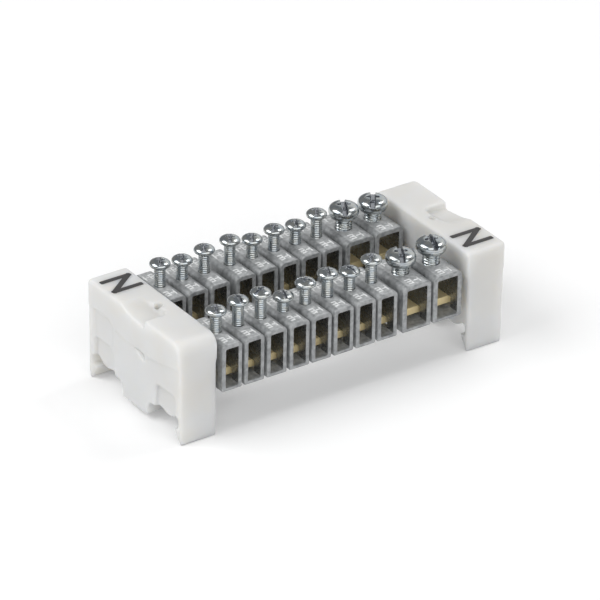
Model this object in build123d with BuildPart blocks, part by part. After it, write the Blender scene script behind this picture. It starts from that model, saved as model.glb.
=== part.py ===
"""Neutral terminal bar: two rows of wire clamps on brass bars between two moulded supports.

Units are millimetres. X runs along the bars, Y goes from the front row to the back row and Z is up.
The origin is the centre of the whole part at the level that its feet stand on.
"""

import os
from math import cos, radians, sin, sqrt

from build123d import *

os.makedirs("parts", exist_ok=True)

# Whole part
OVERALL_LENGTH = 130.6
SUPPORT_DEPTH = 55.0
SUPPORT_THICKNESS = 15.3
SUPPORT_HEIGHT = 37.6

# Cap of an end support: a raised block at one end and a flat pad at the other
CAP_PAD_Z = 27.9
CAP_BLOCK_Z = 28.5
CAP_BEND_Y = 14.4
CAP_MIDDLE_Z = 24.9
CAP_MIDDLE_START_Y = -5.4
CAP_MIDDLE_END_Y = 3.5
BLOCK_ROUNDING = 4.5
PAD_ROUNDING = 1.2
EDGE_ROUNDING = 0.8

# Body under the cap, with the recesses in its outer face
BODY_INSET_OUT = 0.3
BODY_INSET_IN = 0.4
FOOT_INSET = 0.9
PANEL_START = 12.2
PANEL_END = 24.3
PANEL_BOTTOM_Z = 5.7
PANEL_TOP_Z = 16.8
PANEL_DEPTH = 1.7
PANEL_ROUNDING = 3.0
SHALLOW_DEPTH = 0.7
SHADE_DEPTH = 1.6
SHADE_DROP = 3.4

# Underside: foot, barb, throat, arch and middle leg, measured from the end of the support
FOOT_EDGE = 0.9
BARB_REACH = 4.1
BARB_LOW_Z = 4.9
BARB_HIGH_Z = 5.5
BARB_BACK_RISE = 0.3
NOTCH_WALL = 1.9
NOTCH_TOP_Z = 9.6
NOTCH_SHELF = 1.6
LIP_START = 6.5
LIP_START_Z = 7.4
LIP_END = 9.4
LIP_END_Z = 6.9
ARCH_START = 13.8
ARCH_Z = 8.0
ARCH_DROP = 0.4
LEG_HALF = 7.3
LEG_EASE = 1.6
LEG_SHOULDER = 0.3
LEG_SHOULDER_Z = 5.9
LEG_BOTTOM_Z = 2.2

# Scoop in the top of a support, with its fixing hole
SCOOP_WALL_Y = -6.6
SCOOP_WALL_LEAN = 0.4
SCOOP_LOW_Z = 34.5
SCOOP_MIDDLE_Y = 1.5
SCOOP_MIDDLE_Z = 35.6
SCOOP_PAD_Y = 8.2
SCOOP_RISE = 6.0
SCOOP_LENGTH = 11.8
SCOOP_END_ROUNDING = 3.0
SCOOP_SLOPE = 3.0
FIXING_HOLE_RADIUS = 1.4
FIXING_HOLE_INSET = 10.2

# Brass bars and the pockets that hold them
BAR_WIDTH = 10.0
BAR_THICKNESS = 2.6
BAR_TOP_Z = 21.0
POCKET_DEPTH = 7.6
POCKET_PLAY = 0.1
BAR_END_CHAMFER = 0.3
ROW_Y = 17.8

# Cages
CAGE_DEPTH = 20.2
CAGE_TOP_Z = 32.7
CAGE_BOTTOM_Z = 15.5
CAGE_FLOOR = 1.2
CAGE_TOP_ROUNDING = 1.7
CAGE_FOOT_ROUNDING = 0.5
CAGE_EDGE_CHAMFER = 0.4
WINDOW_ROUNDING = 0.5
SLOT_WIDTH = 12.4
SLOT_BOTTOM_Z = 17.1
SHANK_PLAY = 0.05

SMALL_CAGE = {"width": 7.9, "wall": 1.5, "roof": 1.6}
LARGE_CAGE = {"width": 11.6, "wall": 1.8, "roof": 1.8}

# Screws: one for small cages, one for large ones
SMALL_SCREW = {
    "shank_radius": 2.0,
    "length": 12.0,
    "head_radius": 3.5,
    "under_cut": 0.5,
    "rim_height": 1.3,
    "head_height": 2.5,
    "slot_width": 1.0,
    "slot_depth": 1.1,
    "cross_span": 3.9,
    "cross_width": 0.9,
}
LARGE_SCREW = {
    "shank_radius": 3.0,
    "length": 10.0,
    "head_radius": 5.0,
    "under_cut": 1.0,
    "rim_height": 3.3,
    "head_height": 4.8,
    "slot_width": 1.5,
    "slot_depth": 2.0,
    "cross_span": 5.6,
    "cross_width": 1.3,
}
SCREW_TIP_CHAMFER = 0.5

# Place of each cage along its bar, measured from the outer face of the left foot
FRONT_PLACES = [19.8, 28.6, 37.5, 46.5, 55.3, 64.1, 73.0, 81.7, 93.6, 106.0]
BACK_PLACES = [21.4, 30.2, 39.0, 49.2, 58.1, 66.9, 75.6, 84.1, 95.2, 107.1]
SMALL_COUNT = 8

# Gap under each screw head, above the roof of its cage, and the way its slot points
FRONT_GAPS = [6.8, 7.9, 8.1, 4.1, 6.4, 7.3, 5.4, 7.3, 3.2, 4.1]
BACK_GAPS = [7.3, 6.0, 7.3, 7.8, 5.5, 6.6, 5.7, 7.4, 4.1, 3.4]
FRONT_SLOT_ANGLES = [60, 82, 20, 74, 130, 66, 100, 48, 63, 74]
BACK_SLOT_ANGLES = [64, 60, 52, 58, 56, 50, 62, 54, 62, 55]

# How far a cutter, or a joined block, reaches past the face that it crosses
OVERLAP = 1.0

LEFT_X = -OVERALL_LENGTH / 2
FOOT_X = LEFT_X + FOOT_INSET
END_Y = SUPPORT_DEPTH / 2
BODY_PLANE = Plane.YZ.offset(LEFT_X + BODY_INSET_OUT)
BODY_THICKNESS = SUPPORT_THICKNESS - BODY_INSET_OUT - BODY_INSET_IN


def half_underside(side):
    """Points of the underside from the foot to the middle leg, on the side y < 0 or y > 0."""
    barb_y = END_Y - BARB_REACH
    wall_y = END_Y - NOTCH_WALL
    points = [
        (END_Y, 0.0),
        (END_Y - FOOT_EDGE, 0.0),
        (barb_y, BARB_LOW_Z),
        (barb_y, BARB_HIGH_Z),
        (wall_y, BARB_HIGH_Z + BARB_BACK_RISE),
        (wall_y, NOTCH_TOP_Z),
        (wall_y - NOTCH_SHELF, NOTCH_TOP_Z),
        (END_Y - LIP_START, LIP_START_Z),
        (END_Y - LIP_END, LIP_END_Z),
        (END_Y - ARCH_START, ARCH_Z),
        (LEG_HALF + LEG_EASE, ARCH_Z - ARCH_DROP),
        (LEG_HALF + LEG_SHOULDER, LEG_SHOULDER_Z),
        (LEG_HALF, LEG_BOTTOM_Z),
    ]
    return [(side * y, z) for y, z in points]


# Cutter for the scoop: a channel with one steep wall that enters at the outer face and ends rounded.
scoop_start = Plane(
    origin=(LEFT_X - OVERLAP, 0, 0),
    x_dir=(0, 1, 0),
    z_dir=(cos(radians(SCOOP_SLOPE)), 0, sin(radians(SCOOP_SLOPE))),
)
with BuildPart() as scoop:
    with BuildSketch(scoop_start):
        with BuildLine():
            wall_top = (SCOOP_WALL_Y - SCOOP_WALL_LEAN, SUPPORT_HEIGHT + SCOOP_RISE)
            pad_top = (SCOOP_PAD_Y + SCOOP_RISE, SUPPORT_HEIGHT + SCOOP_RISE)
            Line(wall_top, (SCOOP_WALL_Y, SCOOP_LOW_Z))
            Spline(
                (SCOOP_WALL_Y, SCOOP_LOW_Z),
                (SCOOP_MIDDLE_Y, SCOOP_MIDDLE_Z),
                (SCOOP_PAD_Y, SUPPORT_HEIGHT),
                pad_top,
            )
            Line(pad_top, wall_top)
        make_face()
    extrude(amount=SCOOP_LENGTH + OVERLAP)
    end_edges = scoop.faces().sort_by(Axis.X)[-1].edges().sort_by(Axis.Z)
    fillet(end_edges[:-1], radius=SCOOP_END_ROUNDING)

# Cap of the left support: its lower edge dips in the middle on two smooth curves.
with BuildPart() as cap:
    with BuildSketch(Plane.YZ.offset(LEFT_X)):
        with BuildLine():
            Line((-END_Y, CAP_BLOCK_Z), (-END_Y, SUPPORT_HEIGHT))
            Line((-END_Y, SUPPORT_HEIGHT), (END_Y, SUPPORT_HEIGHT))
            Line((END_Y, SUPPORT_HEIGHT), (END_Y, CAP_PAD_Z))
            Line((END_Y, CAP_PAD_Z), (CAP_BEND_Y, CAP_PAD_Z))
            Spline(
                (CAP_BEND_Y, CAP_PAD_Z),
                (CAP_MIDDLE_END_Y, CAP_MIDDLE_Z),
                tangents=((-1, -0.8), (-1, 0)),
            )
            Line((CAP_MIDDLE_END_Y, CAP_MIDDLE_Z), (CAP_MIDDLE_START_Y, CAP_MIDDLE_Z))
            Spline(
                (CAP_MIDDLE_START_Y, CAP_MIDDLE_Z),
                (-END_Y, CAP_BLOCK_Z),
                tangents=((-1, 0), (-1, 0.2)),
            )
        make_face()
    extrude(amount=SUPPORT_THICKNESS)
    top_ends = cap.faces().sort_by(Axis.Z)[-1].edges().filter_by(Axis.X).sort_by(Axis.Y)
    fillet(top_ends[0], radius=BLOCK_ROUNDING)
    top_ends = cap.faces().sort_by(Axis.Z)[-1].edges().filter_by(Axis.X).sort_by(Axis.Y)
    fillet(top_ends[-1], radius=PAD_ROUNDING)
    side_faces = cap.faces().filter_by(Axis.X)
    rim = [edge for edge in side_faces.edges() if edge.center().Z > CAP_BLOCK_Z + OVERLAP]
    fillet(rim, radius=EDGE_ROUNDING)

# Left support: the body with a drafted outer face, its recesses, the cap, the scoop and the holes.
with BuildPart() as support_left:
    with BuildSketch(BODY_PLANE):
        with BuildLine():
            Polyline(
                *half_underside(1),
                *reversed(half_underside(-1)),
                (-END_Y, CAP_BLOCK_Z + OVERLAP),
                (END_Y, CAP_BLOCK_Z + OVERLAP),
                close=True,
            )
        make_face()
    extrude(amount=BODY_THICKNESS)
    upright = support_left.edges().filter_by(Axis.Z).group_by(Axis.Y)
    fillet(upright[0] + upright[-1], radius=EDGE_ROUNDING)
    with BuildSketch(Plane.XZ.offset(-(END_Y + OVERLAP))):
        with BuildLine():
            Polyline(
                (LEFT_X - OVERLAP, CAP_BLOCK_Z),
                (LEFT_X + BODY_INSET_OUT, CAP_BLOCK_Z),
                (FOOT_X, 0),
                (FOOT_X, -OVERLAP),
                (LEFT_X - OVERLAP, -OVERLAP),
                close=True,
            )
        make_face()
    extrude(amount=SUPPORT_DEPTH + 2 * OVERLAP, mode=Mode.SUBTRACT)
    panel_width = PANEL_END - PANEL_START
    panel_height = PANEL_TOP_Z - PANEL_BOTTOM_Z
    for side in (-1, 1):
        with BuildSketch(BODY_PLANE):
            with Locations((side * (PANEL_START + PANEL_END) / 2, (PANEL_TOP_Z + PANEL_BOTTOM_Z) / 2)):
                panel = Rectangle(panel_width, panel_height)
            top_corners = panel.vertices().group_by(Axis.Y)[-1].sort_by(Axis.X)
            fillet(top_corners[0 if side > 0 else -1], radius=PANEL_ROUNDING)
        extrude(amount=PANEL_DEPTH, mode=Mode.SUBTRACT)
    with BuildSketch(BODY_PLANE):
        with Locations(((PANEL_START + PANEL_END) / 2, (PANEL_TOP_Z + CAP_BLOCK_Z) / 2)):
            Rectangle(panel_width, CAP_BLOCK_Z - PANEL_TOP_Z)
    extrude(amount=SHALLOW_DEPTH, mode=Mode.SUBTRACT)
    with BuildSketch(BODY_PLANE):
        with BuildLine():
            Polyline(
                (CAP_MIDDLE_END_Y - OVERLAP, CAP_MIDDLE_Z + OVERLAP),
                (CAP_MIDDLE_START_Y - OVERLAP, CAP_MIDDLE_Z + OVERLAP),
                (CAP_MIDDLE_START_Y - OVERLAP, CAP_MIDDLE_Z - SHADE_DROP),
                close=True,
            )
        make_face()
    extrude(amount=SHADE_DEPTH, mode=Mode.SUBTRACT)
    add(cap.part)
    add(scoop.part, mode=Mode.SUBTRACT)
    for side in (-1, 1):
        with Locations(
            (
                LEFT_X + SUPPORT_THICKNESS - BODY_INSET_IN - POCKET_DEPTH / 2,
                side * ROW_Y,
                BAR_TOP_Z - BAR_THICKNESS / 2 + POCKET_PLAY / 2,
            )
        ):
            Box(POCKET_DEPTH, BAR_WIDTH + 2 * POCKET_PLAY, BAR_THICKNESS + POCKET_PLAY, mode=Mode.SUBTRACT)
    with Locations((LEFT_X + FIXING_HOLE_INSET, 0, SUPPORT_HEIGHT / 2)):
        Cylinder(FIXING_HOLE_RADIUS, SUPPORT_HEIGHT + 2 * OVERLAP, mode=Mode.SUBTRACT)
support_left.part.label = "support_left"
export_step(support_left.part, "parts/support_left.step")

# Right support: the same moulding turned half round, so that its pad is at the front.
with BuildPart() as support_right:
    add(support_left.part, rotation=(0, 0, 180))
support_right.part.label = "support_right"
export_step(support_right.part, "parts/support_right.step")


def make_bar(label, row_y):
    """A flat brass bar whose ends sit in the pockets of both supports."""
    length = OVERALL_LENGTH - 2 * (SUPPORT_THICKNESS - BODY_INSET_IN - POCKET_DEPTH + POCKET_PLAY)
    with BuildPart() as bar:
        with BuildSketch(Plane.XY.offset(BAR_TOP_Z - BAR_THICKNESS)):
            with Locations((0, row_y)):
                Rectangle(length, BAR_WIDTH)
        extrude(amount=BAR_THICKNESS)
        chamfer(bar.edges().filter_by(Axis.Z), length=BAR_END_CHAMFER)
    bar.part.label = label
    export_step(bar.part, f"parts/{label}.step")


def make_cage(label, size, x, row_y, shank_radius):
    """A square tube that hangs on the bar: wire window from front to back, slot for the bar, screw hole."""
    height = CAGE_TOP_Z - CAGE_BOTTOM_Z
    window_height = height - size["roof"] - CAGE_FLOOR
    with BuildPart() as cage:
        with BuildSketch(Plane.XZ.offset(-(row_y + CAGE_DEPTH / 2))):
            with Locations((x, CAGE_BOTTOM_Z + height / 2)):
                outer = Rectangle(size["width"], height)
            fillet(outer.vertices().group_by(Axis.Y)[-1], radius=CAGE_TOP_ROUNDING)
            fillet(outer.vertices().group_by(Axis.Y)[0], radius=CAGE_FOOT_ROUNDING)
        extrude(amount=CAGE_DEPTH)
        ends = cage.faces().filter_by(Axis.Y)
        chamfer(ends.edges(), length=CAGE_EDGE_CHAMFER)
        with BuildSketch(Plane.XZ.offset(-(row_y + CAGE_DEPTH / 2))):
            with Locations((x, CAGE_BOTTOM_Z + CAGE_FLOOR + window_height / 2)):
                RectangleRounded(size["width"] - 2 * size["wall"], window_height, WINDOW_ROUNDING)
        extrude(amount=CAGE_DEPTH, mode=Mode.SUBTRACT)
        with Locations((x, row_y, (SLOT_BOTTOM_Z + BAR_TOP_Z) / 2)):
            Box(size["width"] + OVERLAP, SLOT_WIDTH, BAR_TOP_Z - SLOT_BOTTOM_Z, mode=Mode.SUBTRACT)
        with Locations((x, row_y, CAGE_TOP_Z)):
            Cylinder(shank_radius + SHANK_PLAY, 2 * size["roof"] + OVERLAP, mode=Mode.SUBTRACT)
    cage.part.label = label
    export_step(cage.part, f"parts/{label}.step")


def make_screw(label, size, x, row_y, gap, slot_angle):
    """A clamp screw with a domed head, a slot across it and a short cross arm."""
    seat_z = CAGE_TOP_Z + gap
    top_z = seat_z + size["head_height"]
    shank = size["shank_radius"]
    head = size["head_radius"]
    under = size["under_cut"]
    rim_z = seat_z + size["rim_height"]
    tip_z = seat_z - size["length"]
    dome_rise = top_z - rim_z
    dome_radius = (head**2 + dome_rise**2) / (2 * dome_rise)
    middle = head / 2
    middle_z = top_z - dome_radius + sqrt(dome_radius**2 - middle**2)
    direction = (cos(radians(slot_angle)), sin(radians(slot_angle)), 0)
    with BuildPart() as screw:
        with BuildSketch(Plane(origin=(x, row_y, 0), x_dir=(1, 0, 0), z_dir=(0, -1, 0))):
            with BuildLine():
                Polyline(
                    (0, top_z),
                    (0, tip_z),
                    (shank - SCREW_TIP_CHAMFER, tip_z),
                    (shank, tip_z + SCREW_TIP_CHAMFER),
                    (shank, seat_z),
                    (head - under, seat_z),
                    (head, seat_z + under),
                    (head, rim_z),
                )
                ThreePointArc((head, rim_z), (middle, middle_z), (0, top_z))
            make_face()
        revolve(axis=Axis((x, row_y, 0), (0, 0, 1)))
        slot_floor = Plane(origin=(x, row_y, top_z - size["slot_depth"]), x_dir=direction, z_dir=(0, 0, 1))
        with BuildSketch(slot_floor):
            Rectangle(2 * head + OVERLAP, size["slot_width"])
            Rectangle(size["cross_width"], size["cross_span"])
        extrude(amount=size["slot_depth"] + OVERLAP, mode=Mode.SUBTRACT)
    screw.part.label = label
    export_step(screw.part, f"parts/{label}.step")


ROWS = {
    "front": (-ROW_Y, FRONT_PLACES, FRONT_GAPS, FRONT_SLOT_ANGLES),
    "back": (ROW_Y, BACK_PLACES, BACK_GAPS, BACK_SLOT_ANGLES),
}

for row, (row_y, places, gaps, angles) in ROWS.items():
    make_bar(f"bar_{row}", row_y)
    for index, place in enumerate(places):
        small = index < SMALL_COUNT
        cage_size = SMALL_CAGE if small else LARGE_CAGE
        screw_size = SMALL_SCREW if small else LARGE_SCREW
        x = FOOT_X + place
        make_cage(f"cage_{row}_{index + 1:02d}", cage_size, x, row_y, screw_size["shank_radius"])
        make_screw(f"screw_{row}_{index + 1:02d}", screw_size, x, row_y, gaps[index], angles[index])
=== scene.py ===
"""Neutral terminal bar: its finishes and fine shapes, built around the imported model.

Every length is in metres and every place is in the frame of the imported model: X runs along the
bars, Y goes from the front row to the back row and Z is up.
"""

from __future__ import annotations

import logging
import math
from dataclasses import dataclass, field, replace
from enum import Enum

import bmesh
import bpy
import numpy as np
from bpy.types import Material, Node, NodeSocket, NodeTree, Object
from mathutils import Matrix, Vector

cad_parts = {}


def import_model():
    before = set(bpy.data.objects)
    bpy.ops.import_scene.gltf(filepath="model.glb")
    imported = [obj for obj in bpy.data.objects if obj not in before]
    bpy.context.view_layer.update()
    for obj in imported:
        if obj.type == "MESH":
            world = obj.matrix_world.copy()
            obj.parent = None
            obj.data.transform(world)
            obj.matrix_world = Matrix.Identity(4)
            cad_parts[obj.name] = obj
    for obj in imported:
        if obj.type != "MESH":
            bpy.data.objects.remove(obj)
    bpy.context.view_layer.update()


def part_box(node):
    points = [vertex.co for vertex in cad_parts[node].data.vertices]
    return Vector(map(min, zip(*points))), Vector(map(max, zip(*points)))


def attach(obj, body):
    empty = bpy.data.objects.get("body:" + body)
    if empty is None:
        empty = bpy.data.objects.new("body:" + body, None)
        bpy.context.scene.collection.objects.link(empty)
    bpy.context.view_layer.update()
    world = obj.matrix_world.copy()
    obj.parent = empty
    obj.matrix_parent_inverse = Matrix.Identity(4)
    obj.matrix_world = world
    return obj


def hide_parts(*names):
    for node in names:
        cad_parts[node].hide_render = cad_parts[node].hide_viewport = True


Triple = tuple[float, float, float]
Colour = tuple[float, float, float, float]

LOG = logging.getLogger("terminal_bar")
MM = 0.001
FULL_TURN = 2.0 * math.pi
QUARTER_TURN = math.pi / 2
FRAME_BODY = "frame"
WELD_DISTANCE = 0.002 * MM
PIN_SIDES = 48
GRAIN_DETAIL = 3.0
DRIFT_DETAIL = 4.0
DRIFT_RANGE = (0.35, 0.65)


class Row(Enum):
    """One of the two rows of clamps."""

    FRONT = "front"
    BACK = "back"


def ring_angles(count: int) -> np.ndarray:
    """Angles of evenly spaced places round a full turn, the first at 0 and the last short of it.

    Args:
        count: How many places there are.

    Returns:
        The angles, in radians.
    """
    return np.linspace(0.0, FULL_TURN, count, endpoint=False)


def direction(azimuth: float, elevation: float) -> Vector:
    """The way from the part to a camera or lamp that stands at the given angles.

    Args:
        azimuth: Degrees round from the front, towards the right.
        elevation: Degrees up from the floor.

    Returns:
        A vector of length one.
    """
    a, e = math.radians(azimuth), math.radians(elevation)
    return Vector((math.sin(a) * math.cos(e), -math.cos(a) * math.cos(e), math.sin(e)))


def smooth_step(value: np.ndarray) -> np.ndarray:
    """Eases from 0 to 1 as the value goes from 0 to 1: three times its square less twice its cube.

    Args:
        value: Any array of numbers. Outside 0 to 1 it is held at the nearer end.

    Returns:
        The eased values.
    """
    t = np.clip(value, 0.0, 1.0)
    return t * t * (3.0 - 2.0 * t)


@dataclass
class Shell:
    """Points and faces of a piece, gathered from several worked-out surfaces."""

    name: str
    points: list[np.ndarray] = field(default_factory=list)
    faces: list[list[int]] = field(default_factory=list)
    count: int = 0

    def add_points(self, points: np.ndarray) -> int:
        """Stores points and tells the number of the first one.

        Args:
            points: An array of n by 3 coordinates, in metres.

        Returns:
            The index that the first stored point has in the whole piece.
        """
        first, listed = self.count, points.reshape(-1, 3)
        self.points.append(listed)
        self.count += len(listed)
        return first

    def add_ring_grid(self, grid: np.ndarray, closed_rows: bool = False) -> int:
        """Joins a grid whose columns run round and meet again.

        The quad at row i and column j joins points (i, j), (i, j + 1), (i + 1, j + 1) and
        (i + 1, j), and the column after the last is the first again.

        Args:
            grid: Rows by columns by 3 coordinates.
            closed_rows: True if the last row joins the first one too, as on a tube bent shut.

        Returns:
            The index of the grid's first point.
        """
        rows, columns = grid.shape[:2]
        first = self.add_points(grid)
        i = np.arange(rows if closed_rows else rows - 1)[:, None]
        j = np.arange(columns)[None, :]
        below = (i + 1) % rows
        beside = (j + 1) % columns
        quads = np.stack(
            [i * columns + j, i * columns + beside, below * columns + beside, below * columns + j],
            axis=-1,
        )
        self.faces.extend((quads.reshape(-1, 4) + first).tolist())
        return first

    def add_pole(self, point: np.ndarray, ring_start: int, columns: int, at_start: bool) -> None:
        """Closes one end of a ring grid with a fan of triangles to one point.

        Args:
            point: The pole's coordinates.
            ring_start: Index of the first point of the ring next to the pole.
            columns: How many points the ring has.
            at_start: True if the pole comes before the grid's rows, False if after them.
        """
        pole = self.add_points(np.asarray(point, float))
        j = np.arange(columns)
        here, there = ring_start + j, ring_start + (j + 1) % columns
        one, other = (there, here) if at_start else (here, there)
        fan = np.stack([np.full(columns, pole), one, other], axis=-1)
        self.faces.extend(fan.tolist())

    def add_turned(self, grid: np.ndarray, start: np.ndarray, end: np.ndarray) -> None:
        """Adds a ring grid closed by a pole at each end.

        Args:
            grid: Rows by columns by 3 coordinates.
            start: Pole before the first row.
            end: Pole after the last row.
        """
        rows, columns = grid.shape[:2]
        first = self.add_ring_grid(grid)
        self.add_pole(start, first, columns, True)
        self.add_pole(end, first + (rows - 1) * columns, columns, False)

    def to_object(self, sharp_angle: float = 35.0) -> Object:
        """Makes the object, at the origin, shaded smooth up to the sharp angle.

        Args:
            sharp_angle: Edges that turn by more than this many degrees stay sharp.

        Returns:
            The new object, linked to the scene.
        """
        mesh = bpy.data.meshes.new(self.name)
        mesh.from_pydata(np.concatenate(self.points).tolist(), [], self.faces)
        mesh.validate()
        obj = bpy.data.objects.new(self.name, mesh)
        bpy.context.scene.collection.objects.link(obj)
        finish_normals(obj, sharp_angle)
        return obj


def finish_normals(obj: Object, sharp_angle: float) -> None:
    """Turns all faces outwards and shades them smooth, with edges past the angle kept sharp.

    Args:
        obj: The piece.
        sharp_angle: Edges that turn by more than this many degrees stay sharp.
    """
    work = bmesh.new()
    work.from_mesh(obj.data)
    bmesh.ops.recalc_face_normals(work, faces=work.faces)
    work.to_mesh(obj.data)
    work.free()
    obj.data.polygons.foreach_set("use_smooth", np.ones(len(obj.data.polygons), bool))
    obj.data.set_sharp_from_angle(angle=math.radians(sharp_angle))
    obj.data.update()


def bake_modifiers(obj: Object) -> None:
    """Replaces the object's mesh by what its modifiers make of it, and removes them.

    Args:
        obj: The piece.
    """
    bpy.context.view_layer.update()
    graph = bpy.context.evaluated_depsgraph_get()
    mesh = bpy.data.meshes.new_from_object(obj.evaluated_get(graph))
    obj.modifiers.clear()
    obj.data = mesh


def face_middles(obj: Object) -> np.ndarray:
    """The middles of a piece's faces.

    Args:
        obj: The piece.

    Returns:
        An array of n by 3 coordinates.
    """
    middles = np.empty(len(obj.data.polygons) * 3)
    obj.data.polygons.foreach_get("center", middles)
    return middles.reshape(-1, 3)


def merged_copy(node: str, name: str) -> Object:
    """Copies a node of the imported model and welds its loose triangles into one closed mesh.

    Args:
        node: Name of the node.
        name: Name of the new piece.

    Returns:
        The new object, with no material yet.
    """
    source = bpy.data.objects[node]
    mesh = source.data.copy()
    mesh.name = name
    mesh.materials.clear()
    obj = bpy.data.objects.new(name, mesh)
    bpy.context.scene.collection.objects.link(obj)
    work = bmesh.new()
    work.from_mesh(mesh)
    bmesh.ops.remove_doubles(work, verts=work.verts, dist=WELD_DISTANCE)
    work.to_mesh(mesh)
    work.free()
    return obj


def box_cutter(name: str, low: Triple, high: Triple) -> Object:
    """A plain block between two corners, used only to cut another piece and then removed.

    Args:
        name: The block's name.
        low: Its lowest corner.
        high: Its highest corner.

    Returns:
        The block.
    """
    corners = np.array(
        [[x, y, z] for x in (low[0], high[0]) for y in (low[1], high[1]) for z in (low[2], high[2])]
    )
    shell = Shell(name)
    shell.add_points(corners)
    shell.faces = [[0, 1, 3, 2], [4, 6, 7, 5], [0, 4, 5, 1], [2, 3, 7, 6]]
    shell.faces += [[0, 2, 6, 4], [1, 5, 7, 3]]
    return shell.to_object()


def round_cutter(name: str, centre: Triple, radius: float, half_height: float) -> Object:
    """An upright round pin, used only to cut another piece and then removed.

    Args:
        name: The pin's name.
        centre: Its middle.
        radius: Its radius.
        half_height: Half of its height.

    Returns:
        The pin.
    """
    angle = ring_angles(PIN_SIDES)
    ring = np.column_stack([radius * np.cos(angle), radius * np.sin(angle), np.zeros(PIN_SIDES)])
    low = np.array(centre) - [0.0, 0.0, half_height]
    high = np.array(centre) + [0.0, 0.0, half_height]
    shell = Shell(name)
    shell.add_turned(np.array([ring + low, ring + high]), low, high)
    return shell.to_object()


def cut_away(obj: Object, cutters: list[Object]) -> None:
    """Cuts the given blocks out of the piece and removes the blocks.

    Args:
        obj: The piece.
        cutters: The blocks.
    """
    for cutter in cutters:
        modifier = obj.modifiers.new("cut", "BOOLEAN")
        modifier.operation = "DIFFERENCE"
        modifier.solver = "EXACT"
        modifier.object = cutter
    bake_modifiers(obj)
    for cutter in cutters:
        bpy.data.objects.remove(cutter)


def link(tree: NodeTree, source: NodeSocket, target: NodeSocket) -> None:
    """Joins an output socket to an input socket of the same tree."""
    tree.links.new(source, target)


@dataclass(frozen=True)
class GroupKit:
    """The shader node groups that several finishes share."""

    grain: NodeTree
    drift: NodeTree


def mix(
    tree: NodeTree, kind: str, share: NodeSocket, one: NodeSocket, other: NodeSocket
) -> NodeSocket:
    """Mixes two sockets.

    Args:
        tree: The group that they are in.
        kind: FLOAT for values and RGBA for colours.
        share: The share of the second one.
        one: The first one.
        other: The second one.

    Returns:
        The mixed socket.
    """
    node = tree.nodes.new("ShaderNodeMix")
    node.data_type = kind
    for key, socket in (("Factor", share), ("A", one), ("B", other)):
        link(tree, socket, node.inputs[key])
    return node.outputs["Result"]


def new_group(name: str, inputs: dict[str, float], outputs: dict[str, str]) -> NodeTree:
    """Makes an empty shader node group with named sockets.

    Args:
        name: The group's name.
        inputs: Each input's name and first value. Those that start with Colour are colours,
            which every finish sets, and their first value isn't used.
        outputs: Each output's name and socket type.

    Returns:
        The group, with its input and output nodes.
    """
    tree = bpy.data.node_groups.new(name, "ShaderNodeTree")
    for key, value in inputs.items():
        kind = "NodeSocketColor" if key.startswith("Colour") else "NodeSocketFloat"
        socket = tree.interface.new_socket(name=key, in_out="INPUT", socket_type=kind)
        if kind == "NodeSocketFloat":
            socket.default_value = value
    for key, kind in outputs.items():
        tree.interface.new_socket(name=key, in_out="OUTPUT", socket_type=kind)
    tree.nodes.new("NodeGroupInput").name = "in"
    tree.nodes.new("NodeGroupOutput").name = "out"
    return tree


def build_grain_group() -> NodeTree:
    """Fine cast or moulded grain: a height from two noises, fine pits over a slow waviness.

    Returns:
        A group with inputs Fine scale, Slow scale and Slow share, and output Height.
    """
    tree = new_group(
        "surface_grain",
        {"Fine scale": 3000.0, "Slow scale": 300.0, "Slow share": 0.5},
        {"Height": "NodeSocketFloat"},
    )
    nodes = tree.nodes
    coords = nodes.new("ShaderNodeTexCoord")
    heights = []
    for key in ("Fine scale", "Slow scale"):
        noise = nodes.new("ShaderNodeTexNoise")
        noise.inputs["Detail"].default_value = GRAIN_DETAIL
        link(tree, coords.outputs["Object"], noise.inputs["Vector"])
        link(tree, nodes["in"].outputs[key], noise.inputs["Scale"])
        heights.append(noise.outputs["Fac"])
    height = mix(tree, "FLOAT", nodes["in"].outputs["Slow share"], *heights)
    link(tree, height, nodes["out"].inputs["Height"])
    return tree


def build_drift_group() -> NodeTree:
    """Slow change of colour and roughness over a surface, between two colours and two values.

    Returns:
        A group with inputs Colour one, Colour two, Rough one, Rough two and Scale, and outputs
        Colour and Roughness.
    """
    tree = new_group(
        "colour_drift",
        {"Colour one": 0.0, "Colour two": 0.0, "Rough one": 0.3, "Rough two": 0.4, "Scale": 200.0},
        {"Colour": "NodeSocketColor", "Roughness": "NodeSocketFloat"},
    )
    nodes = tree.nodes
    given = nodes["in"].outputs
    coords = nodes.new("ShaderNodeTexCoord")
    noise = nodes.new("ShaderNodeTexNoise")
    noise.inputs["Detail"].default_value = DRIFT_DETAIL
    link(tree, coords.outputs["Object"], noise.inputs["Vector"])
    link(tree, given["Scale"], noise.inputs["Scale"])
    spread = nodes.new("ShaderNodeMapRange")
    spread.inputs["From Min"].default_value = DRIFT_RANGE[0]
    spread.inputs["From Max"].default_value = DRIFT_RANGE[1]
    link(tree, noise.outputs["Fac"], spread.inputs["Value"])
    share = spread.outputs["Result"]
    colour = mix(tree, "RGBA", share, given["Colour one"], given["Colour two"])
    rough = mix(tree, "FLOAT", share, given["Rough one"], given["Rough two"])
    link(tree, colour, nodes["out"].inputs["Colour"])
    link(tree, rough, nodes["out"].inputs["Roughness"])
    return tree


def group_node(tree: NodeTree, group: NodeTree, values: dict[str, object]) -> Node:
    """Puts a shared group into a material and sets its inputs.

    Args:
        tree: The material's node tree.
        group: The shared group.
        values: Each input's name and value.

    Returns:
        The group's node.
    """
    node = tree.nodes.new("ShaderNodeGroup")
    node.node_tree = group
    for key, value in values.items():
        node.inputs[key].default_value = value
    return node


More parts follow.
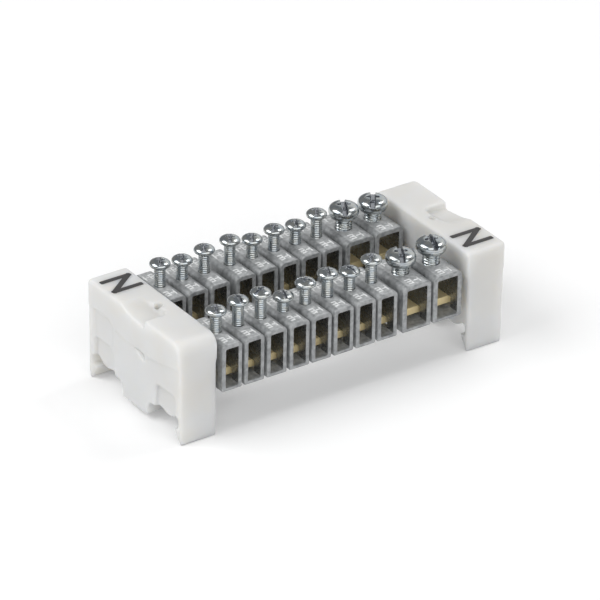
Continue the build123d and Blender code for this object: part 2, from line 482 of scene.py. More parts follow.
@dataclass(frozen=True)
class Finish:
    """One finish of the part: its two drifting colours, its roughness range and its grain."""

    name: str
    slot: str
    colour_one: Triple
    colour_two: Triple
    rough: tuple[float, float]
    drift_scale: float
    grain_scale: float
    grain_slow_scale: float
    grain_slow_share: float = 0.5
    grain_height: float = 0.00002
    metallic: float = 0.0
    glow_depth: float = 0.0
    glow_tint: Triple = (1.0, 0.93, 0.82)

    def build(self, kit: GroupKit) -> Material:
        """Makes the material.

        Args:
            kit: The shared node groups.

        Returns:
            The material, with its Principled shader outside the groups.
        """
        material = bpy.data.materials.new(self.name)
        material.use_nodes = True
        tree = material.node_tree
        shader = tree.nodes["Principled BSDF"]
        drift_values = {
            "Colour one": (*self.colour_one, 1.0),
            "Colour two": (*self.colour_two, 1.0),
            "Rough one": self.rough[0],
            "Rough two": self.rough[1],
            "Scale": self.drift_scale,
        }
        grain_values = {
            "Fine scale": self.grain_scale,
            "Slow scale": self.grain_slow_scale,
            "Slow share": self.grain_slow_share,
        }
        drift = group_node(tree, kit.drift, drift_values)
        grain = group_node(tree, kit.grain, grain_values)
        bump = tree.nodes.new("ShaderNodeBump")
        bump.inputs["Strength"].default_value = 1.0
        bump.inputs["Distance"].default_value = self.grain_height
        link(tree, grain.outputs["Height"], bump.inputs["Height"])
        link(tree, bump.outputs["Normal"], shader.inputs["Normal"])
        link(tree, drift.outputs["Colour"], shader.inputs["Base Color"])
        link(tree, drift.outputs["Roughness"], shader.inputs["Roughness"])
        shader.inputs["Metallic"].default_value = self.metallic
        if self.glow_depth:
            shader.inputs["Subsurface Weight"].default_value = 1.0
            shader.inputs["Subsurface Radius"].default_value = self.glow_tint
            shader.inputs["Subsurface Scale"].default_value = self.glow_depth
        return material


PLASTIC = Finish(
    name="milky_plastic",
    slot="moulded_plastic",
    colour_one=(0.69, 0.68, 0.655),
    colour_two=(0.72, 0.725, 0.725),
    rough=(0.36, 0.44),
    drift_scale=38.0,
    grain_scale=1800.0,
    grain_slow_scale=140.0,
    grain_slow_share=0.7,
    glow_depth=0.008,
)
BRASS = Finish(
    name="drawn_brass",
    slot="brass",
    colour_one=(0.98, 0.82, 0.47),
    colour_two=(0.92, 0.75, 0.42),
    rough=(0.42, 0.52),
    drift_scale=260.0,
    metallic=0.35,
    grain_scale=4000.0,
    grain_slow_scale=500.0,
    grain_slow_share=0.4,
    grain_height=0.00003,
)
DULL_ZINC = Finish(
    name="dull_zinc",
    slot="dull_zinc",
    colour_one=(0.24, 0.25, 0.255),
    colour_two=(0.41, 0.42, 0.425),
    rough=(0.36, 0.50),
    drift_scale=700.0,
    metallic=0.2,
    grain_scale=3600.0,
    grain_slow_scale=1100.0,
    grain_slow_share=0.4,
    grain_height=0.00008,
)
# Painted light: a lighter copy of the dull zinc for the cage roofs, standing in for the light that
# falls on the top.
LIT_ROOF_ZINC = replace(
    DULL_ZINC,
    name="painted_light_roof_zinc",
    colour_one=(0.35, 0.36, 0.365),
    colour_two=(0.57, 0.58, 0.585),
    rough=(0.34, 0.48),
)
# Smoother, more metallic zinc for the window's inside walls; its darker colour is painted shade
# inside the window.
SHADED_INSIDE_ZINC = replace(
    DULL_ZINC,
    name="painted_shade_inside_zinc",
    colour_one=(0.22, 0.225, 0.225),
    colour_two=(0.26, 0.265, 0.265),
    rough=(0.22, 0.32),
    drift_scale=600.0,
    metallic=0.8,
    grain_slow_scale=900.0,
    grain_height=0.00002,
)
# Painted highlight: a much lighter zinc for the raised roof marks, so that their strokes show as
# lit.
HIGHLIT_MARK_ZINC = replace(
    DULL_ZINC,
    name="painted_highlight_mark_zinc",
    colour_one=(0.78, 0.79, 0.79),
    colour_two=(0.88, 0.89, 0.89),
    rough=(0.34, 0.46),
    grain_scale=4200.0,
    grain_slow_scale=900.0,
    grain_slow_share=0.35,
    grain_height=0.00004,
)
BRIGHT_ZINC = Finish(
    name="bright_zinc",
    slot="bright_zinc",
    colour_one=(0.42, 0.465, 0.50),
    colour_two=(0.54, 0.55, 0.525),
    rough=(0.14, 0.24),
    drift_scale=600.0,
    metallic=1.0,
    grain_scale=5000.0,
    grain_slow_scale=900.0,
)
# Painted shade: a darker zinc for the faces down in the screw heads' slot and cross.
SHADED_RECESS_ZINC = replace(
    BRIGHT_ZINC,
    name="painted_shade_recess_zinc",
    colour_one=(0.28, 0.30, 0.33),
    colour_two=(0.40, 0.41, 0.43),
    rough=(0.20, 0.32),
    drift_scale=900.0,
)
INK = Finish(
    name="black_ink",
    slot="moulded_plastic",
    colour_one=(0.030, 0.028, 0.028),
    colour_two=(0.045, 0.042, 0.042),
    rough=(0.35, 0.45),
    drift_scale=300.0,
    grain_scale=3000.0,
    grain_slow_scale=400.0,
    grain_height=0.00001,
)


@dataclass
class FinishShelf:
    """All finishes of the part, each built once."""

    kit: GroupKit
    made: dict[str, Material] = field(default_factory=dict)

    def material(self, finish: Finish) -> Material:
        """Gives the finish's material, built when it is first asked for.

        Args:
            finish: The finish.

        Returns:
            Its material.
        """
        if finish.name not in self.made:
            self.made[finish.name] = finish.build(self.kit)
        return self.made[finish.name]

    def dress(self, obj: Object, finish: Finish) -> None:
        """Gives an object one finish in every material slot.

        Args:
            obj: The object.
            finish: Its finish.
        """
        material = self.material(finish)
        if not obj.material_slots:
            obj.data.materials.append(material)
        for place in obj.material_slots:
            place.material = material

    def hand_in(self, obj: Object, finish: Finish, body: str, *nodes: str) -> None:
        """Dresses a new piece, puts it on its body and lets it stand for the given nodes.

        Args:
            obj: The new piece, finished and in place.
            finish: Its finish.
            body: The body that it moves with.
            *nodes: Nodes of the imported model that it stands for, if any.
        """
        self.dress(obj, finish)
        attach(obj, body)
        if nodes:
            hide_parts(*nodes)
        LOG.info("%s on %s, %d faces", obj.name, body, len(obj.data.polygons))


@dataclass
class EndSupport:
    """One moulded end support, with its edges rounded as a mould leaves them, and its mark.

    The mark's strokes end in half of a squared circle with end_points points. Their rows shrink
    by ink_shares, and the closing row under the pad's surface by under_share.
    """

    node: str
    pad_side: int
    voxel: float = 0.36 * MM
    rounds: int = 16
    ink_width: float = 1.95 * MM
    ink_rise: float = 0.03 * MM
    letter_half_x: float = 5.0 * MM
    letter_half_y: float = 3.65 * MM
    letter_centre_y: float = 18.5 * MM
    squareness: int = 6
    end_points: int = 12
    ink_shares: tuple[float, ...] = (1.0, 0.96, 0.8, 0.4)
    under_share: float = 0.9
    moulding_sharp: float = 180.0
    mark_sharp: float = 60.0

    def build(self, shelf: FinishShelf) -> None:
        """Makes the moulding and its mark.

        Args:
            shelf: The finishes.
        """
        shelf.hand_in(self.moulding(), PLASTIC, FRAME_BODY, self.node)
        shelf.hand_in(self.mark(), INK, FRAME_BODY)

    def moulding(self) -> Object:
        """A copy of the solid, remeshed in even small cells and relaxed to round its edges.

        Returns:
            The moulding.
        """
        obj = merged_copy(self.node, f"{self.node}_moulding")
        remesh = obj.modifiers.new("even", "REMESH")
        remesh.mode = "VOXEL"
        remesh.voxel_size = self.voxel
        relax = obj.modifiers.new("relax", "SMOOTH")
        relax.factor = 0.5
        relax.iterations = self.rounds
        bake_modifiers(obj)
        finish_normals(obj, self.moulding_sharp)
        return obj

    def mark(self) -> Object:
        """The printed N: three flat strokes with blunt ends on top of the pad.

        Returns:
            The mark.
        """
        low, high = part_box(self.node)
        middle = np.array([(low[0] + high[0]) / 2, self.pad_side * self.letter_centre_y, high[2]])
        half = np.array([self.letter_half_x, self.letter_half_y])
        corners = np.array([[-1.0, 1.0], [1.0, 1.0], [-1.0, -1.0], [1.0, -1.0]]) * half
        shell = Shell(f"{self.node}_mark")
        for start, end in zip(corners[:-1], corners[1:]):
            self.add_stroke(shell, middle, start, end)
        return shell.to_object(self.mark_sharp)

    def add_stroke(
        self, shell: Shell, middle: np.ndarray, start: np.ndarray, end: np.ndarray
    ) -> None:
        """Adds one stroke of ink: a very low dome over a long outline with blunt ends.

        Each end's outline is half of a squared circle, whose sixth powers of x and y add up to
        the same sum all round. Rows shrink towards the stroke's own line while the height rises
        as the root of one less the shrink squared.

        Args:
            shell: The mark being made.
            middle: The letter's middle on the pad.
            start: Start of the stroke, as an offset from the middle.
            end: End of the stroke, as an offset from the middle.
        """
        along = (end - start) / np.linalg.norm(end - start)
        turn = np.linspace(0.0, math.pi, self.end_points)
        heading = math.atan2(along[1], along[0])
        angles = np.concatenate([heading + QUARTER_TURN + turn, heading - QUARTER_TURN + turn])
        ends = np.repeat(np.stack([start, end]), self.end_points, axis=0)
        count, power = len(angles), self.squareness
        local = angles - heading
        summed = np.abs(np.cos(local)) ** power + np.abs(np.sin(local)) ** power
        reach = self.ink_width / 2 / summed ** (1.0 / power)
        rim = np.stack([np.cos(angles) * reach, np.sin(angles) * reach], axis=-1)
        under = np.column_stack([ends + rim * self.under_share, np.full(count, -self.ink_rise)])
        rows = [under]
        for share in self.ink_shares:
            rise = self.ink_rise * math.sqrt(1.0 - share * share)
            rows.append(np.column_stack([ends + rim * share, np.full(count, rise)]))
        grid = np.array(rows) + middle
        centre = np.array([*((start + end) / 2), 0.0]) + middle
        shell.add_turned(grid, centre - [0, 0, self.ink_rise], centre + [0, 0, self.ink_rise])


@dataclass(frozen=True)
class CageForm:
    """Sizes that one size of cage has in common."""

    wall: float
    roof: float
    floor: float
    top_rounding: float
    foot_rounding: float
    window_rounding: float
    outer_edge: float
    inner_edge: float
    hole_radius: float


SMALL_CAGE = CageForm(
    wall=1.5 * MM,
    roof=1.6 * MM,
    floor=1.2 * MM,
    top_rounding=1.7 * MM,
    foot_rounding=0.6 * MM,
    window_rounding=0.5 * MM,
    outer_edge=0.4 * MM,
    inner_edge=0.25 * MM,
    hole_radius=2.05 * MM,
)
LARGE_CAGE = replace(
    SMALL_CAGE, wall=1.8 * MM, roof=1.8 * MM, top_rounding=1.9 * MM, hole_radius=3.05 * MM
)


@dataclass
class Cage:
    """One clamp cage: a rounded rectangular tube with a slot for the bar and a screw hole."""

    node: str
    form: CageForm
    slot_depth: float = 12.4 * MM
    slot_low: float = 17.1 * MM
    slot_high: float = 21.0 * MM
    hole_margin: float = 0.3 * MM
    tolerance: float = 0.02 * MM
    corner_points: int = 7
    rim_points: int = 5
    sharp_angle: float = 40.0

    def build(self, shelf: FinishShelf) -> None:
        """Makes the cage.

        Args:
            shelf: The finishes.
        """
        obj = self.tube()
        low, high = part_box(self.node)
        x, y = (low[0] + high[0]) / 2, (low[1] + high[1]) / 2
        slot = box_cutter(
            "slot_cutter",
            (low[0] - MM, y - self.slot_depth / 2, self.slot_low),
            (high[0] + MM, y + self.slot_depth / 2, self.slot_high),
        )
        half_hole = self.form.roof + self.hole_margin
        hole = round_cutter("hole_cutter", (x, y, high[2]), self.form.hole_radius, half_hole)
        cut_away(obj, [slot, hole])
        finish_normals(obj, self.sharp_angle)
        shelf.hand_in(obj, DULL_ZINC, FRAME_BODY, self.node)
        self.finish_faces(obj, shelf)

    def finish_faces(self, obj: Object, shelf: FinishShelf) -> None:
        """Gives the window's walls the smoother inside zinc, whose darker colour is painted shade,
        and the roof a lighter zinc, whose colour is painted light on the top.

        A face is inside where its middle lies within the window's own section, over its floor.
        It is on the roof where its middle lies at the roof's own height.

        Args:
            obj: The finished cage.
            shelf: The finishes.
        """
        low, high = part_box(self.node)
        middles = face_middles(obj)
        across = np.abs(middles[:, 0] - (low[0] + high[0]) / 2)
        inside = across < (high[0] - low[0]) / 2 - self.form.wall + self.tolerance
        inside &= middles[:, 2] < high[2] - self.form.roof + self.tolerance
        inside &= middles[:, 2] > low[2] + self.form.floor + self.form.window_rounding
        roof = middles[:, 2] > high[2] - self.tolerance
        # Painted shade on the inside walls and painted light on the roof.
        obj.data.materials.append(shelf.material(SHADED_INSIDE_ZINC))
        obj.data.materials.append(shelf.material(LIT_ROOF_ZINC))
        places = inside.astype(np.int32) + 2 * roof.astype(np.int32)
        obj.data.polygons.foreach_set("material_index", places)

    def loop(
        self, half_x: float, low_z: float, high_z: float, r_top: float, r_foot: float
    ) -> np.ndarray:
        """Points round a rectangle with rounded corners, the same count for every size.

        Each corner is a quarter circle of corner_points, and the straight sides join them.

        Args:
            half_x: Half of the width.
            low_z: Height of the underside.
            high_z: Height of the top.
            r_top: Radius of the top corners.
            r_foot: Radius of the lower corners.

        Returns:
            The points' x and z, going round once.
        """
        quarter = np.linspace(0.0, QUARTER_TURN, self.corner_points)
        corners = ((1, 1, r_top), (-1, 1, r_top), (-1, -1, r_foot), (1, -1, r_foot))
        parts = []
        for k, (sx, sz, r) in enumerate(corners):
            angle = quarter + k * QUARTER_TURN
            x = sx * (half_x - r) + r * np.cos(angle)
            z = (high_z - r if sz > 0 else low_z + r) + r * np.sin(angle)
            parts.append(np.stack([x, z], axis=-1))
        return np.concatenate(parts)

    def tube(self) -> Object:
        """The tube: its wall carried round, over the rounded rims to the inside and back.

        Row by row the section goes along the outside, round the back rim, along the inside and
        round the front rim. On each rim the loop shrinks or grows by a quarter circle's share.

        Returns:
            The tube, with no slot or hole yet.
        """
        f = self.form
        low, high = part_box(self.node)
        half_x = (high[0] - low[0]) / 2
        x, front, back = (low[0] + high[0]) / 2, low[1], high[1]
        quarter = np.linspace(0.0, QUARTER_TURN, self.rim_points)

        def placed(ring: np.ndarray, y: float) -> np.ndarray:
            return np.column_stack([ring[:, 0] + x, np.full(len(ring), y), ring[:, 1]])

        def outer(offset: float, y: float) -> np.ndarray:
            r_top, r_foot = f.top_rounding - offset, f.foot_rounding - offset
            ring = self.loop(half_x - offset, low[2] + offset, high[2] - offset, r_top, r_foot)
            return placed(ring, y)

        def inner(offset: float, y: float) -> np.ndarray:
            low_z, high_z = low[2] + f.floor - offset, high[2] - f.roof + offset
            r = f.window_rounding + offset
            return placed(self.loop(half_x - f.wall + offset, low_z, high_z, r, r), y)

        rims = (
            (outer, f.outer_edge, back, 1, quarter),
            (inner, f.inner_edge, back, 1, quarter[::-1]),
            (inner, f.inner_edge, front, -1, quarter),
            (outer, f.outer_edge, front, -1, quarter[::-1]),
        )
        rows = []
        for section, edge, end, way, turns in rims:
            for a in turns:
                y = end - way * edge + way * edge * math.sin(a)
                rows.append(section(edge * (1 - math.cos(a)), y))
        shell = Shell(f"{self.node}_body")
        shell.add_ring_grid(np.array(rows), closed_rows=True)
        return shell.to_object(self.sharp_angle)


@dataclass
class RoofMarks:
    """Small raised strokes on the cage roofs of one row, in front of and behind each screw.

    The glyph's strokes are given as middle and half length, in shares of its half sizes: two
    long strokes, three short ones that join them to the edge, and one on the other side.
    """

    row: Row
    count: int = 10
    stroke_half: float = 0.26 * MM
    stroke_rise: float = 0.25 * MM
    glyph_half_x: float = 1.75 * MM
    glyph_half_y: float = 1.35 * MM
    glyph: tuple[tuple[float, float, float, float], ...] = (
        (-1.0, 0.0, 0.0, 1.0),
        (0.25, 0.0, 0.0, 1.0),
        (0.62, -1.0, 0.38, 0.0),
        (0.62, 0.0, 0.38, 0.0),
        (0.62, 1.0, 0.38, 0.0),
        (-0.6, 0.0, 0.4, 0.0),
    )
    small_reach: float = 6.3 * MM
    large_reach: float = 7.2 * MM
    large_size: float = 1.3
    large_from: float = 10.0 * MM
    stroke_steps: int = 10
    sharp_angle: float = 60.0

    def build(self, shelf: FinishShelf) -> None:
        """Makes all marks of the row as one piece.

        Args:
            shelf: The finishes.
        """
        shell = Shell(f"roof_marks_{self.row.value}")
        for index in range(self.count):
            low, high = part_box(f"cage_{self.row.value}_{index + 1:02d}")
            centre = np.array([(low[0] + high[0]) / 2, (low[1] + high[1]) / 2, high[2]])
            large = high[0] - low[0] > self.large_from
            reach = self.large_reach if large else self.small_reach
            size = self.large_size if large else 1.0
            for side in (-1, 1):
                self.add_mark(shell, centre + [0.0, side * reach, 0.0], size, side)
        obj = shell.to_object(self.sharp_angle)
        # The marks take the painted highlight zinc.
        shelf.hand_in(obj, HIGHLIT_MARK_ZINC, FRAME_BODY)

    def add_mark(self, shell: Shell, centre: np.ndarray, size: float, side: int) -> None:
        """Adds one mark, stroke by stroke.

        Args:
            shell: The marks being made.
            centre: The mark's middle, on the roof.
            size: Factor on its width.
            side: 1 or -1, so that both ends of a cage carry the mark the same way round.
        """
        half_x, half_y = self.glyph_half_x * size, self.glyph_half_y
        for x, y, long_x, long_y in self.glyph:
            middle = centre + [side * x * half_x, y * half_y, 0.0]
            self.add_stroke(shell, middle, (long_x * half_x, long_y * half_y))

    def add_stroke(self, shell: Shell, centre: np.ndarray, half: tuple[float, float]) -> None:
        """Adds one raised stroke: a long low pebble.

        Its width swells as the fourth root of one less the fourth power along it, so that its
        ends are blunt, and each section is an ellipse.

        Args:
            shell: The marks being made.
            centre: The stroke's middle, on the roof.
            half: Half of its length, as x and y.
        """
        t = np.cos(np.linspace(0.0, math.pi, self.stroke_steps)[1:-1])[:, None]
        swell = (1.0 - np.abs(t) ** 4) ** 0.25
        angle = ring_angles(self.stroke_steps)[None, :]
        along = np.array([half[0], half[1], 0.0])
        reach = np.linalg.norm(along)
        across = np.array([-along[1], along[0], 0.0]) / reach
        side = self.stroke_half * swell * np.cos(angle)
        rise = self.stroke_rise * swell * np.sin(angle)
        tip = 1.0 + self.stroke_half / reach
        grid = (
            centre
            + along * (t * tip * np.ones_like(angle))[..., None]
            + across * side[..., None]
            + np.array([0.0, 0.0, 1.0]) * rise[..., None]
        )
        shell.add_turned(grid, centre + along * tip, centre - along * tip)


@dataclass(frozen=True)
class ScrewForm:
    """Sizes that one size of screw has in common."""

    shank_radius: float
    length: float
    head_radius: float
    rim_height: float
    head_height: float
    crown_power: float
    under_cut: float
    slot_width: float
    slot_depth: float
    cross_span: float
    cross_width: float
    cross_depth: float
    pitch: float
    thread_depth: float


SMALL_SCREW = ScrewForm(
    shank_radius=2.0 * MM,
    length=12.0 * MM,
    head_radius=3.6 * MM,
    rim_height=0.85 * MM,
    head_height=2.5 * MM,
    crown_power=2.1,
    under_cut=1.0 * MM,
    slot_width=1.0 * MM,
    slot_depth=0.9 * MM,
    cross_span=3.0 * MM,
    cross_width=0.9 * MM,
    cross_depth=1.4 * MM,
    pitch=0.7 * MM,
    thread_depth=0.18 * MM,
)
LARGE_SCREW = ScrewForm(
    shank_radius=3.0 * MM,
    length=10.0 * MM,
    head_radius=5.2 * MM,
    rim_height=2.1 * MM,
    head_height=4.8 * MM,
    crown_power=2.9,
    under_cut=1.5 * MM,
    slot_width=1.7 * MM,
    slot_depth=2.0 * MM,
    cross_span=4.2 * MM,
    cross_width=1.3 * MM,
    cross_depth=2.7 * MM,
    pitch=1.0 * MM,
    thread_depth=0.45 * MM,
)


@dataclass
class ClampScrew:
    """One clamp screw: a domed head with a slot and a cross in it, and a threaded shank.

    In the recess each wall leans over the ease. An arm of the cross starts at arm_root times its
    width and loses arm_loss of it on the way out, and its floor loses floor_loss of its depth.
    The thread runs out short of the head and fades over shares of its pitch at both ends.
    """

    node: str
    form: ScrewForm
    slot_angle: float
    ease: float = 0.14 * MM
    arm_root: float = 1.15
    arm_loss: float = 0.45
    floor_loss: float = 0.45
    sunk_depth: float = 0.12 * MM
    head_columns: int = 120
    crown_rows: int = 44
    crown_start: float = 0.02
    bend_rows: int = 9
    closing_share: float = 0.6
    shank_columns: int = 48
    rows_per_thread: int = 7
    shank_overlap: float = 0.2 * MM
    shank_play: float = 0.03 * MM
    crest_width: float = 1.15
    run_out: float = 0.25 * MM
    head_fade: float = 0.6
    tip_fade: float = 0.8
    tip_chamfer: float = 0.35 * MM
    tip_length: float = 0.6 * MM
    sharp_angle: float = 50.0

    def build(self, shelf: FinishShelf) -> None:
        """Makes the screw.

        Args:
            shelf: The finishes.
        """
        low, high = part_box(self.node)
        axis = np.array([(low[0] + high[0]) / 2, (low[1] + high[1]) / 2, 0.0])
        seat = low[2] + self.form.length
        shell = Shell(f"{self.node}_turned")
        self.add_head(shell, axis, seat)
        self.add_shank(shell, axis, low[2], seat)
        obj = shell.to_object(self.sharp_angle)
        shelf.hand_in(obj, BRIGHT_ZINC, self.node, self.node)
        self.paint_recess_shade(obj, axis, seat, shelf)

    def paint_recess_shade(
        self, obj: Object, axis: np.ndarray, seat: float, shelf: FinishShelf
    ) -> None:
        """Paints shade into the slot and cross: the faces down in them get a darker zinc than the
        rest of the head.

        A face is in the recess where its middle lies clearly under the plain crown's curve.

        Args:
            obj: The finished screw.
            axis: The screw's axis.
            seat: Height of the head's underside.
            shelf: The finishes.
        """
        f = self.form
        middles = face_middles(obj) - axis
        share = np.clip(np.hypot(middles[:, 0], middles[:, 1]) / f.head_radius, 0.0, 1.0)
        curve = (1.0 - share**f.crown_power) ** (1.0 / f.crown_power)
        plain = seat + f.rim_height + (f.head_height - f.rim_height) * curve
        sunk = middles[:, 2] < plain - self.sunk_depth
        sunk &= middles[:, 2] > seat + f.rim_height
        # The sunk faces get the darker zinc, which is painted shade.
        obj.data.materials.append(shelf.material(SHADED_RECESS_ZINC))
        obj.data.polygons.foreach_set("material_index", sunk.astype(np.int32))

    def crown(self, turn: np.ndarray) -> tuple[np.ndarray, np.ndarray]:
        """Radius and height of the plain top over the seat, on a rounded pan's curve.

        The radius is the head's times a power of the sine of the turn, and the height rises over
        the widest place by the same power of its cosine. The power is two over the crown's own.

        Args:
            turn: 0 at the middle of the top and a quarter turn at the widest place.

        Returns:
            The radii and the heights.
        """
        f = self.form
        power = 2.0 / f.crown_power
        radius = f.head_radius * np.sin(turn) ** power
        return radius, f.rim_height + (f.head_height - f.rim_height) * np.cos(turn) ** power

    def recess(self, x: np.ndarray, y: np.ndarray, plain: np.ndarray) -> np.ndarray:
        """Height of the top with its slot and cross cut in.

        The slot runs along x with a flat floor. The cross has tapering arms whose floor falls
        towards the middle. Each wall leans over a short ease, and the lower of the cuts holds.

        Args:
            x: Place along the slot.
            y: Place across it.
            plain: Height of the plain dome there.

        Returns:
            The cut height.
        """
        f, ease = self.form, self.ease
        in_slot = smooth_step((f.slot_width / 2 + ease / 2 - np.abs(y)) / ease)
        slot_floor = np.minimum(plain, f.head_height - f.slot_depth)
        cut = plain + (slot_floor - plain) * in_slot
        far = np.hypot(x, y)
        arm = f.cross_span / 2
        for along, across in ((x, y), (y, x)):
            share = np.clip(np.abs(along) / arm, 0, 1)
            taper = f.cross_width / 2 * (self.arm_root - self.arm_loss * share)
            in_arm = smooth_step((taper + ease / 2 - np.abs(across)) / ease)
            in_arm = in_arm * smooth_step((arm + ease - np.abs(along)) / (2 * ease))
            drop = f.cross_depth * (1.0 - self.floor_loss * np.clip(far / arm, 0, 1))
            arm_floor = np.minimum(plain, f.head_height - drop)
            cut = np.minimum(cut, plain + (arm_floor - plain) * in_arm)
        return cut

    def add_head(self, shell: Shell, axis: np.ndarray, seat: float) -> None:
        """Adds the head: rings over the cut dome, round the rim, down the side and in underneath.

        Args:
            shell: The screw being made.
            axis: The screw's axis, as x and y with no height.
            seat: Height of the head's underside.
        """
        f = self.form
        angle = ring_angles(self.head_columns)[None, :]
        turn = angle - math.radians(self.slot_angle)
        fall = np.linspace(self.crown_start, QUARTER_TURN, self.crown_rows)[:, None]
        radius, plain = self.crown(fall * np.ones_like(angle))
        top = self.recess(radius * np.cos(turn), radius * np.sin(turn), plain)
        crown = np.stack([radius * np.cos(angle), radius * np.sin(angle), top + seat], axis=-1)
        bend = np.linspace(0.0, QUARTER_TURN, self.bend_rows)[1:, None]
        side = f.head_radius - f.under_cut * (1 - np.cos(bend))
        height = f.rim_height * (1 - np.sin(bend)) + seat + 0 * angle
        lower = np.stack([side * np.cos(angle), side * np.sin(angle), height], axis=-1)
        near = f.shank_radius * self.closing_share
        under = np.stack([near * np.cos(angle), near * np.sin(angle), seat + 0 * angle], axis=-1)
        grid = np.concatenate([crown, lower, under], axis=0) + axis
        centre = float(self.recess(np.zeros(1), np.zeros(1), np.full(1, f.head_height))[0])
        shell.add_turned(grid, axis + [0, 0, seat + centre], axis + [0, 0, seat])

    def add_shank(self, shell: Shell, axis: np.ndarray, tip: float, seat: float) -> None:
        """Adds the threaded shank: a pin whose radius rises and falls along a helix.

        The radius is the root's plus the thread's depth times a rounded saw of height over pitch
        plus angle over a full turn. The thread fades out under the head and at the tip.

        Args:
            shell: The screw being made.
            axis: The screw's axis.
            tip: Height of the tip.
            seat: Height of the head's underside.
        """
        f = self.form
        end = seat + self.shank_overlap
        rows = int((seat - tip) / f.pitch * self.rows_per_thread)
        z = np.linspace(tip, end, rows)[:, None]
        angle = ring_angles(self.shank_columns)[None, :]
        phase = (z - tip) / f.pitch + angle / FULL_TURN
        wave = np.abs(2.0 * (phase - np.floor(phase)) - 1.0)
        crest = smooth_step(wave * self.crest_width)
        under_head = smooth_step((seat - self.run_out - z) / (self.head_fade * f.pitch))
        over_tip = smooth_step((z - tip) / (self.tip_fade * f.pitch))
        outer = f.shank_radius - self.shank_play
        radius = outer - f.thread_depth * (1.0 - crest * under_head * over_tip)
        radius = radius - self.tip_chamfer * (1.0 - smooth_step((z - tip) / self.tip_length))
        grid = np.stack([radius * np.cos(angle), radius * np.sin(angle), z + 0 * angle], axis=-1)
        shell.add_turned(grid + axis, axis + [0, 0, tip], axis + [0, 0, end])


@dataclass
class ClampRow:
    """One row: its bar, ten cages and ten screws."""

    row: Row
    slot_angles: tuple[float, ...]
    small_count: int = 8

    def build(self, shelf: FinishShelf) -> None:
        """Makes every clamp of the row and dresses its bar.

        Args:
            shelf: The finishes.
        """
        bar = bpy.data.objects[f"bar_{self.row.value}"]
        shelf.dress(bar, BRASS)
        LOG.info("%s dressed in place", bar.name)
        for index, slot_angle in enumerate(self.slot_angles):
            small = index < self.small_count
            number = f"{self.row.value}_{index + 1:02d}"
            cage = SMALL_CAGE if small else LARGE_CAGE
            screw = SMALL_SCREW if small else LARGE_SCREW
            Cage(f"cage_{number}", cage).build(shelf)
            ClampScrew(f"screw_{number}", screw, slot_angle).build(shelf)
        RoofMarks(self.row).build(shelf)


@dataclass
class PhotoCamera:
    """The camera, where the photograph's own stood."""

    azimuth: float = -34.809
    elevation: float = 29.324
    roll: float = 0.9546
    distance: float = 2.36949
    slide_right: float = 0.0389768
    slide_up: float = 0.0479584
    corner: Triple = (-0.0644, -0.0275, 0.0)
    lens: float = 434.968
    sensor: float = 36.0
    nearest: float = 0.1
    farthest: float = 20.0

    def build(self) -> None:
        """Makes the camera and gives it to the scene."""
        a, r = math.radians(self.azimuth), math.radians(self.roll)
        back = direction(self.azimuth, self.elevation)
        right = Vector((math.cos(a), math.sin(a), 0.0))
        up = back.cross(right)
        right_rolled = right * math.cos(r) + up * math.sin(r)
        up_rolled = up * math.cos(r) - right * math.sin(r)
        place = Vector(self.corner) + back * self.distance
        place += right_rolled * self.slide_right + up_rolled * self.slide_up
        data = bpy.data.cameras.new("photo_camera")
        data.lens = self.lens
        data.sensor_width = self.sensor
        data.clip_start, data.clip_end = self.nearest, self.farthest
        camera = bpy.data.objects.new("photo_camera", data)
        turn = Matrix((right_rolled, up_rolled, back)).transposed().to_4x4()
        camera.matrix_world = Matrix.Translation(place) @ turn
        bpy.context.scene.collection.objects.link(camera)
        bpy.context.scene.camera = camera


@dataclass(frozen=True)
class SoftBox:
    """One flat lamp, given by its direction from the part."""

    name: str
    azimuth: float
    elevation: float
    distance: float
    width: float
    height: float
    power: float
    aim_height: float = 0.02

    def build(self) -> None:
        """Hangs the lamp so that it faces the part."""
        back = direction(self.azimuth, self.elevation)
        data = bpy.data.lights.new(self.name, "AREA")
        data.shape = "RECTANGLE"
        data.size, data.size_y = self.width, self.height
        data.energy = self.power
        lamp = bpy.data.objects.new(self.name, data)
        lamp.location = back * self.distance + Vector((0.0, 0.0, self.aim_height))
        lamp.rotation_mode = "QUATERNION"
        lamp.rotation_quaternion = back.to_track_quat("Z", "Y")
        bpy.context.scene.collection.objects.link(lamp)


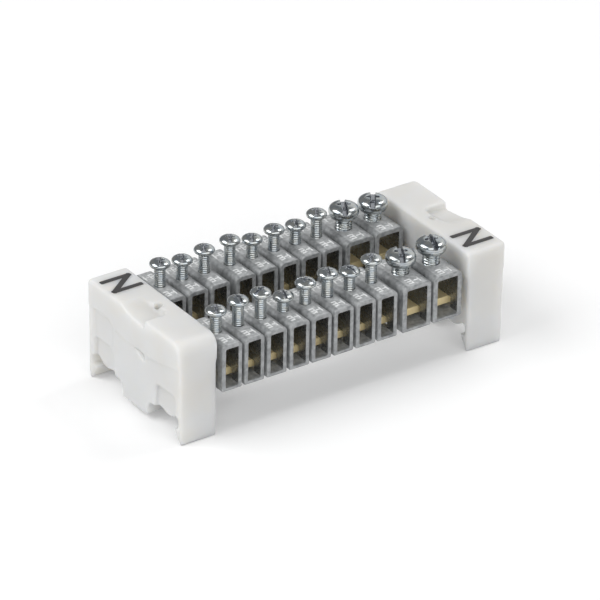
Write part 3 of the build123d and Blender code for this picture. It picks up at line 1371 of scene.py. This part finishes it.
@dataclass
class Studio:
    """The plain white floor, the soft lamps and the pale surroundings."""

    floor_half: float = 4.0
    floor_height: float = -0.1 * MM
    floor_colour: Colour = (0.84, 0.84, 0.84, 1.0)
    floor_lift: float = 0.19
    world_colour: Colour = (0.98, 0.99, 1.0, 1.0)
    world_level: float = 0.27
    lamps: tuple[SoftBox, ...] = (
        SoftBox("left_box", -110.0, 48.0, 2.0, 1.6, 1.1, 22.5),
        SoftBox("right_box", 88.0, 52.0, 2.0, 0.7, 0.7, 7.0),
        SoftBox("low_box", 112.0, 26.0, 2.4, 3.4, 1.4, 9.0),
        SoftBox("front_box", -15.0, 34.0, 2.2, 3.2, 1.6, 25.0),
    )

    def build(self) -> None:
        """Makes the floor, the lamps and the world."""
        self.floor()
        for lamp in self.lamps:
            lamp.build()
        world = bpy.data.worlds.new("pale_room")
        bpy.context.scene.world = world
        world.use_nodes = True
        tree = world.node_tree
        shade = tree.nodes["Background"]
        shade.inputs["Color"].default_value = self.world_colour
        shade.inputs["Strength"].default_value = self.world_level

    def floor(self) -> None:
        """A wide flat floor that shows white to the camera and keeps the part's shadow.

        Its lift is seen by the camera and in reflections alone, and puts no light on the part.
        """
        side = np.array([-self.floor_half, self.floor_half])
        x, y = np.meshgrid(side, side)
        corners = np.stack([x.ravel(), y.ravel(), np.full(4, self.floor_height)], axis=-1)
        mesh = bpy.data.meshes.new("floor")
        mesh.from_pydata(corners.tolist(), [], [[0, 1, 3, 2]])
        obj = bpy.data.objects.new("floor", mesh)
        bpy.context.scene.collection.objects.link(obj)
        material = bpy.data.materials.new("white_paper")
        material.use_nodes = True
        tree = material.node_tree
        shader = tree.nodes["Principled BSDF"]
        shader.inputs["Base Color"].default_value = self.floor_colour
        shader.inputs["Roughness"].default_value = 0.9
        shader.inputs["Specular IOR Level"].default_value = 0.1
        path = tree.nodes.new("ShaderNodeLightPath")
        seen = path.outputs["Is Camera Ray"]
        for key in ("Is Glossy Ray", "Is Transmission Ray"):
            either = tree.nodes.new("ShaderNodeMath")
            either.operation = "MAXIMUM"
            link(tree, seen, either.inputs[0])
            link(tree, path.outputs[key], either.inputs[1])
            seen = either.outputs["Value"]
        shown = tree.nodes.new("ShaderNodeMath")
        shown.operation = "MULTIPLY"
        shown.inputs[1].default_value = self.floor_lift
        link(tree, seen, shown.inputs[0])
        shader.inputs["Emission Color"].default_value = (1.0, 1.0, 1.0, 1.0)
        link(tree, shown.outputs["Value"], shader.inputs["Emission Strength"])
        mesh.materials.append(material)


FRONT_SLOT_ANGLES = (60, 82, 20, 74, 130, 66, 100, 48, 63, 74)
BACK_SLOT_ANGLES = (64, 60, 52, 58, 56, 50, 62, 54, 62, 55)


def main() -> None:
    """Builds every piece in order, then the studio."""
    logging.basicConfig(level=logging.INFO, format="%(message)s")
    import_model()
    bpy.context.scene.view_settings.view_transform = "Standard"
    PhotoCamera().build()
    shelf = FinishShelf(GroupKit(build_grain_group(), build_drift_group()))
    EndSupport("support_left", 1).build(shelf)
    EndSupport("support_right", -1).build(shelf)
    ClampRow(Row.FRONT, FRONT_SLOT_ANGLES).build(shelf)
    ClampRow(Row.BACK, BACK_SLOT_ANGLES).build(shelf)
    Studio().build()


if __name__ == "__main__":
    main()
